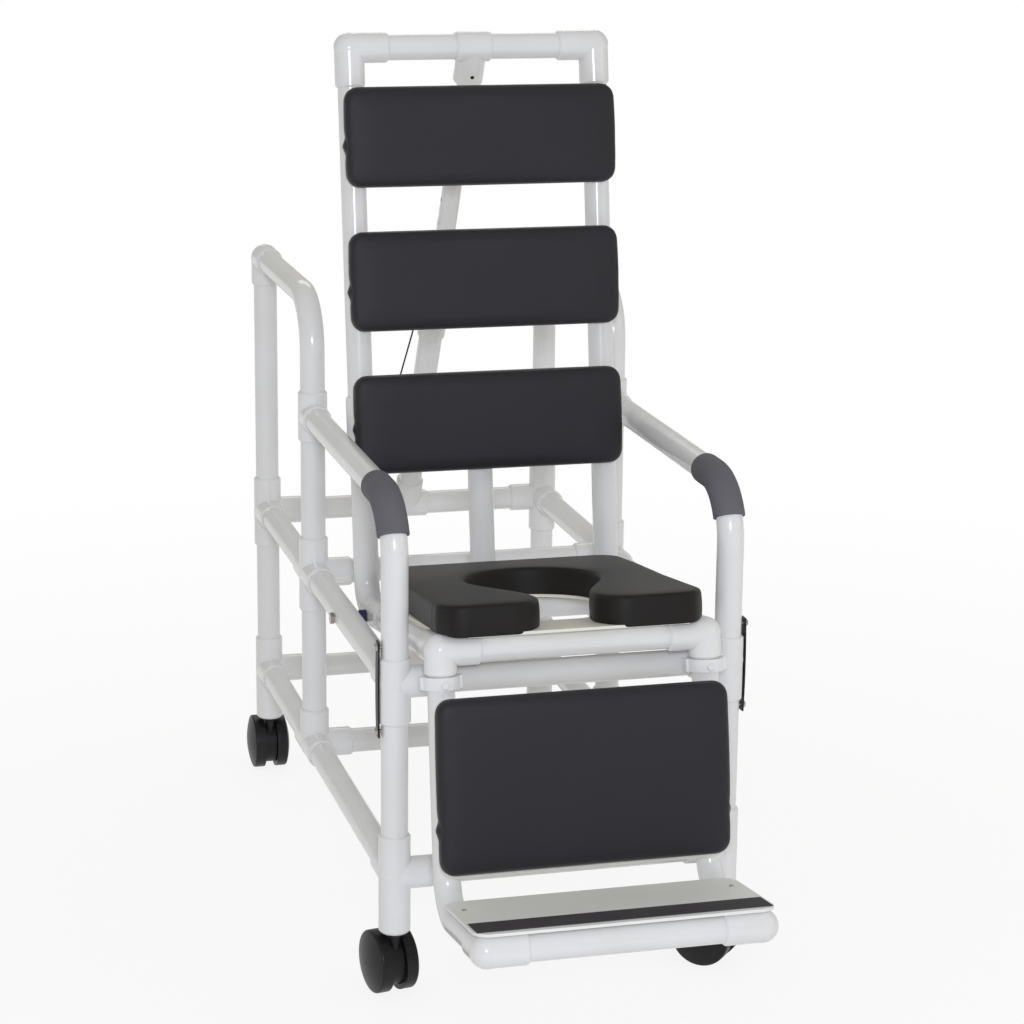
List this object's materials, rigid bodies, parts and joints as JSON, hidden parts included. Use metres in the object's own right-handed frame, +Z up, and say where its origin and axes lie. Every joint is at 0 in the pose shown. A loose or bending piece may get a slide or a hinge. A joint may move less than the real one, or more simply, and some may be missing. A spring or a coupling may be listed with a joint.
{
  "type": "tilt-in-space shower chair",
  "caption": "Tilting shower chair with a pipe frame, twin-wheel casters, open horseshoe seat, padded back and calf rest, footplate and locking strut.",
  "frame": {"origin": "centre of the bounding box on the floor, under the chair", "axes": "+Z up, the chair faces -Y, +X to the right as seen from the front"},
  "size_m": [0.6191, 1.534, 1.4383],
  "materials": {
    "white_pipe": "smooth, semi-gloss white plastic pipe",
    "white_fitting": "smooth, semi-gloss moulded white plastic",
    "dark_vinyl": "soft dark grey vinyl over foam, fine grain",
    "cream_board": "satin off-white plastic board",
    "footplate_plastic": "satin pale grey plastic",
    "strip_rubber": "matt dark anti-slip strip",
    "grip_foam": "matt grey foam sleeve",
    "black_plastic": "matt black plastic",
    "steel": "plain stainless steel",
    "caster_plastic": "matt dark plastic",
    "caster_rubber": "satin dark wheel plastic"
  },
  "bodies": {
    "base": {"arm_tube_left": "white_pipe", "arm_tube_right": "white_pipe", "push_handle_left": "white_pipe", "push_handle_right": "white_pipe", "front_legs": "white_pipe", "mid_posts": "white_pipe", "rear_posts": "white_pipe", "low_side_rails": "white_pipe", "mid_side_rails": "white_pipe", "cross_rails": "white_pipe", "front_leg_fittings": "white_fitting", "mid_post_fittings": "white_fitting", "rear_post_fittings": "white_fitting", "grip_left": "grip_foam", "grip_right": "grip_foam", "leg_straps": "black_plastic", "strap_bolts": "steel", "pivot_bolts": "steel", "pivot_spacers": "black_plastic", "caster_sleeves": "black_plastic"},
    "tilt_frame": {"back_uprights": "white_pipe", "top_rail": "white_pipe", "back_centre_tubes": "white_pipe", "seat_side_rails": "white_pipe", "seat_cross_bars": "white_pipe", "back_fittings": "white_fitting", "seat_fittings": "white_fitting", "legrest_tubes": "white_pipe", "legrest_collars": "white_fitting", "legrest_elbows": "white_fitting", "foot_bar": "white_pipe", "footplate": "footplate_plastic", "grip_strip": "strip_rubber", "footplate_screws": "steel", "calf_board": "cream_board", "calf_pad": "dark_vinyl", "seat_board": "cream_board", "seat_cushion": "dark_vinyl", "pad_boards": "cream_board", "back_pad_upper": "dark_vinyl", "back_pad_middle": "dark_vinyl", "back_pad_lower": "dark_vinyl"},
    "strut_upper": {"strut_tee": "white_fitting", "strut_inner_tube": "white_pipe"},
    "strut_lower": {"strut_outer_tube": "white_pipe", "strut_collar": "white_fitting", "hub_tee": "white_fitting", "lanyard": "black_plastic"},
    "lock_pin": {"lock_pin": "black_plastic"},
    "snap_button_left": {"snap_button_left": "white_fitting"},
    "snap_button_right": {"snap_button_right": "white_fitting"},
    "caster_yoke_fl": {"caster_yoke_fl": "caster_plastic"},
    "caster_wheels_fl": {"caster_wheels_fl": "caster_rubber"},
    "caster_yoke_fr": {"caster_yoke_fr": "caster_plastic"},
    "caster_wheels_fr": {"caster_wheels_fr": "caster_rubber"},
    "caster_yoke_rl": {"caster_yoke_rl": "caster_plastic"},
    "caster_wheels_rl": {"caster_wheels_rl": "caster_rubber"},
    "caster_yoke_rr": {"caster_yoke_rr": "caster_plastic"},
    "caster_wheels_rr": {"caster_wheels_rr": "caster_rubber"}
  },
  "joints": [
    {"name": "caster_swivel_front_left", "type": "hinge", "parent": "base", "child": "caster_yoke_fl", "pos_m": [-0.267, -0.393, 0.106], "axis": [0, 0, 1], "continuous": true},
    {"name": "caster_roll_front_left", "type": "hinge", "parent": "caster_yoke_fl", "child": "caster_wheels_fl", "pos_m": [-0.2712, -0.3714, 0.05], "axis": [0.9816, 0.1908, 0], "continuous": true},
    {"name": "caster_swivel_front_right", "type": "hinge", "parent": "base", "child": "caster_yoke_fr", "pos_m": [0.267, -0.393, 0.106], "axis": [0, 0, 1], "continuous": true},
    {"name": "caster_roll_front_right", "type": "hinge", "parent": "caster_yoke_fr", "child": "caster_wheels_fr", "pos_m": [0.25065, -0.37827, 0.05], "axis": [0.6691, 0.7431, 0], "continuous": true},
    {"name": "caster_swivel_rear_left", "type": "hinge", "parent": "base", "child": "caster_yoke_rl", "pos_m": [-0.267, 0.695, 0.106], "axis": [0, 0, 1], "continuous": true},
    {"name": "caster_roll_rear_left", "type": "hinge", "parent": "caster_yoke_rl", "child": "caster_wheels_rl", "pos_m": [-0.267, 0.717, 0.05], "axis": [1, 0, 0], "continuous": true},
    {"name": "caster_swivel_rear_right", "type": "hinge", "parent": "base", "child": "caster_yoke_rr", "pos_m": [0.267, 0.695, 0.106], "axis": [0, 0, 1], "continuous": true},
    {"name": "caster_roll_rear_right", "type": "hinge", "parent": "caster_yoke_rr", "child": "caster_wheels_rr", "pos_m": [0.267, 0.717, 0.05], "axis": [1, 0, 0], "continuous": true},
    {"name": "seat_tilt", "type": "hinge", "parent": "base", "child": "tilt_frame", "pos_m": [0, -0.033, 0.51], "axis": [-1, 0, 0], "range_deg": [0, 25]},
    {"name": "strut_swing", "type": "hinge", "parent": "tilt_frame", "child": "strut_upper", "pos_m": [0, 0.20988, 1.41276], "axis": [1, 0, 0], "range_deg": [0, 6.8]},
    {"name": "strut_slide", "type": "slide", "parent": "strut_upper", "child": "strut_lower", "axis": [0, -0.4734, 0.8809], "range_m": [0, 0.2985]},
    {"name": "lock_pin_slide", "type": "slide", "parent": "strut_lower", "child": "lock_pin", "axis": [1, 0, 0], "range_m": [0, 0.012]},
    {"name": "snap_button_left", "type": "slide", "parent": "tilt_frame", "child": "snap_button_left", "axis": [0, 0.9887, -0.1502], "range_m": [0, 0.004], "stiffness_N_per_m": 500, "springref_m": -0.002},
    {"name": "snap_button_right", "type": "slide", "parent": "tilt_frame", "child": "snap_button_right", "axis": [0, 0.9887, -0.1502], "range_m": [0, 0.004], "stiffness_N_per_m": 500, "springref_m": -0.002}
  ],
  "couplings": [
    {"joint": "strut_swing", "follows": "seat_tilt", "ratio": 0.27048},
    {"joint": "strut_slide", "follows": "seat_tilt", "m_per_rad": 0.68353}
  ]
}
